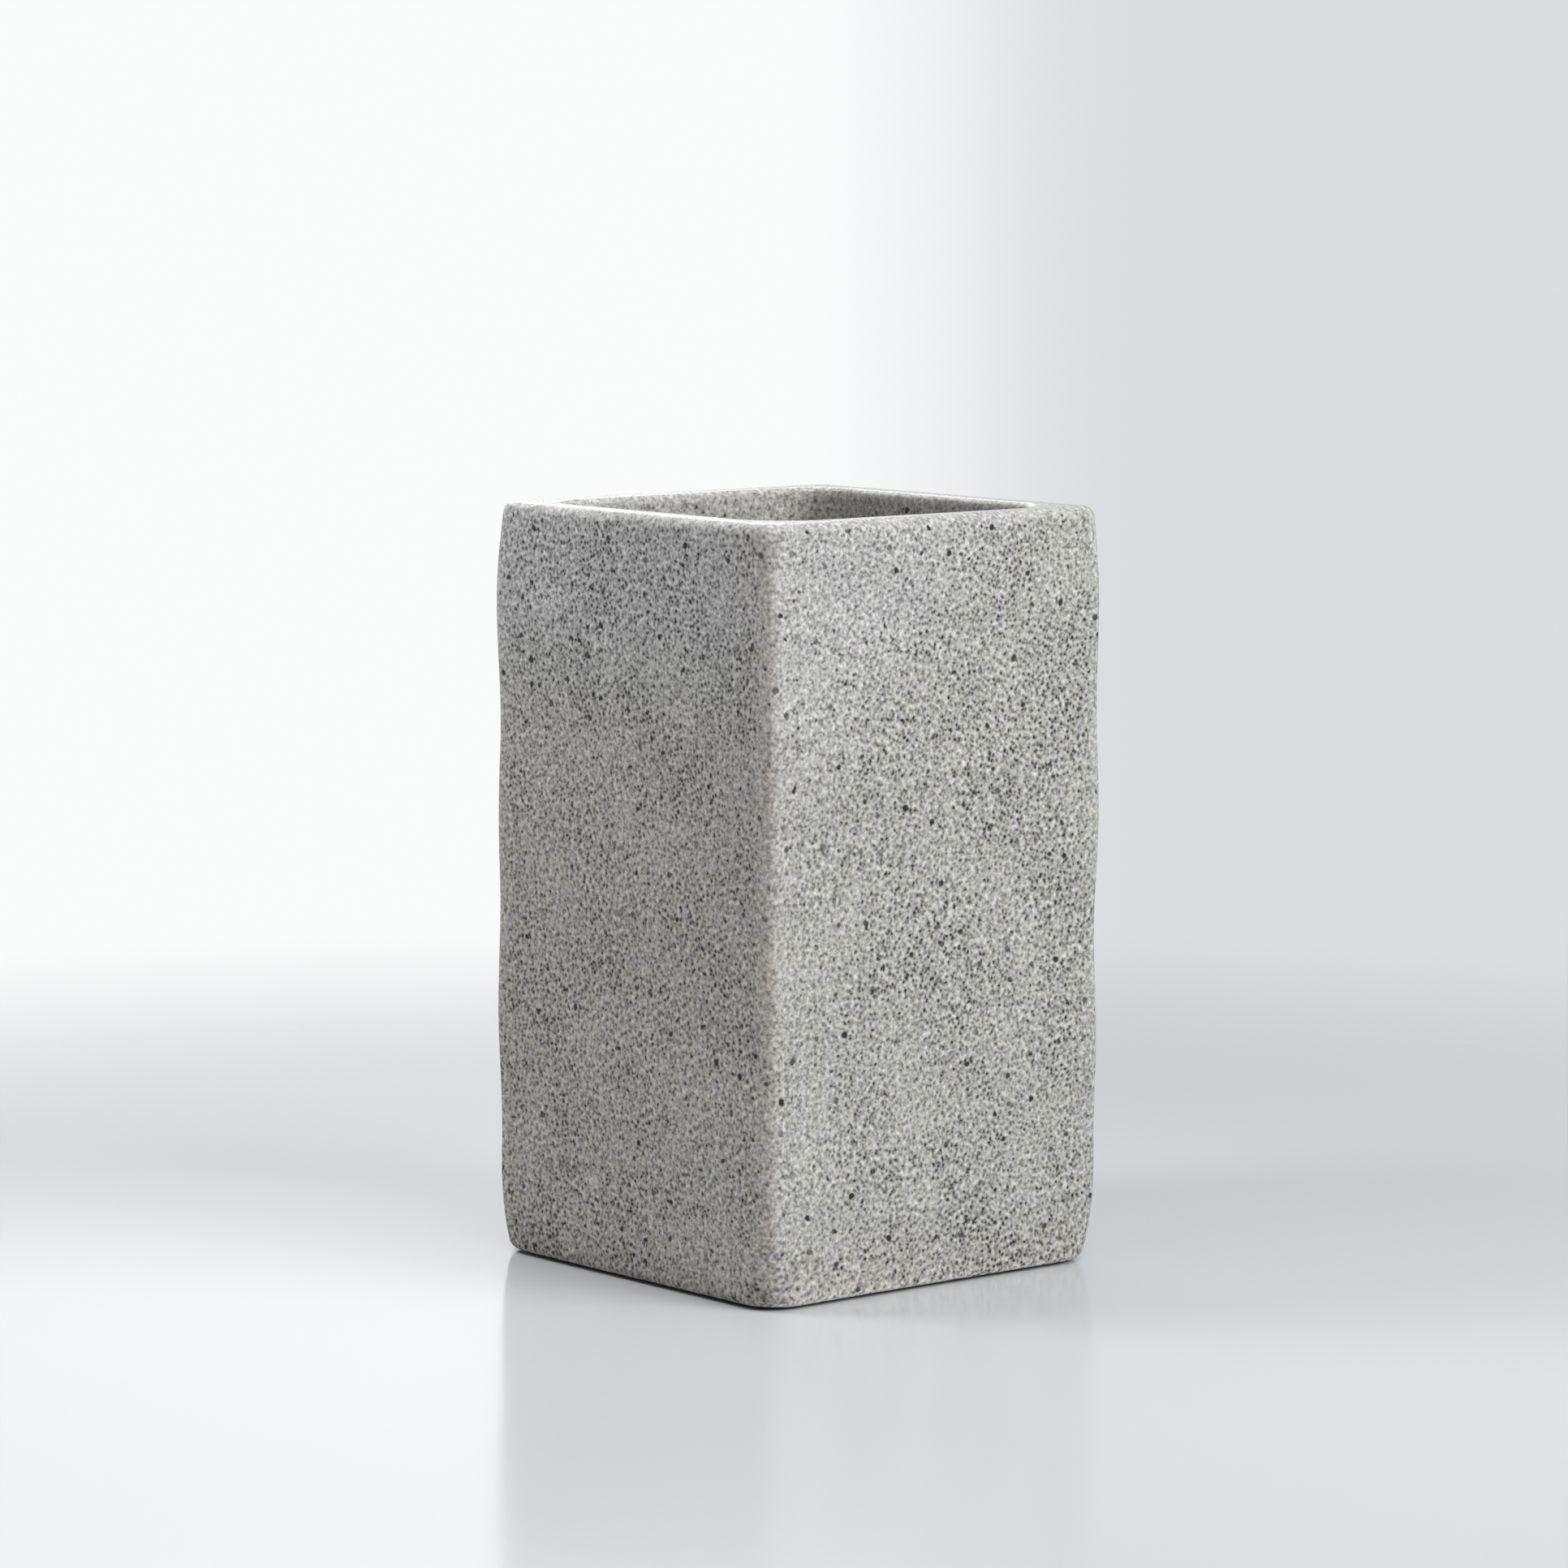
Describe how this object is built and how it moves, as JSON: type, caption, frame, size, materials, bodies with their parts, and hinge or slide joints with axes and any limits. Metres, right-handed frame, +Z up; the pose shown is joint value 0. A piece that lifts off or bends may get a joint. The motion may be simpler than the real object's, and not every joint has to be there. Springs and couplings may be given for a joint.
{
  "type": "bathroom tumbler",
  "caption": "Square open-top bathroom tumbler in speckled stone effect, with thick softly uneven walls, rounded edges and small stick-on feet set into its flat base.",
  "frame": {"origin": "centre of the flat surface that the feet stand on", "axes": "+Z up through the opening, -Y out of the front face, -X out of the left face"},
  "size_m": [0.0644, 0.0644, 0.112],
  "materials": {
    "stone_effect": "matte",
    "foot_rubber": "matte",
    "adhesive_film": "satin"
  },
  "bodies": {
    "root": {"tumbler_body": "stone_effect", "foot_front_left": "foot_rubber", "foot_front_right": "foot_rubber", "foot_back_left": "foot_rubber", "foot_back_right": "foot_rubber", "adhesive_front_left": "adhesive_film", "adhesive_front_right": "adhesive_film", "adhesive_back_left": "adhesive_film", "adhesive_back_right": "adhesive_film"}
  },
  "joints": []
}
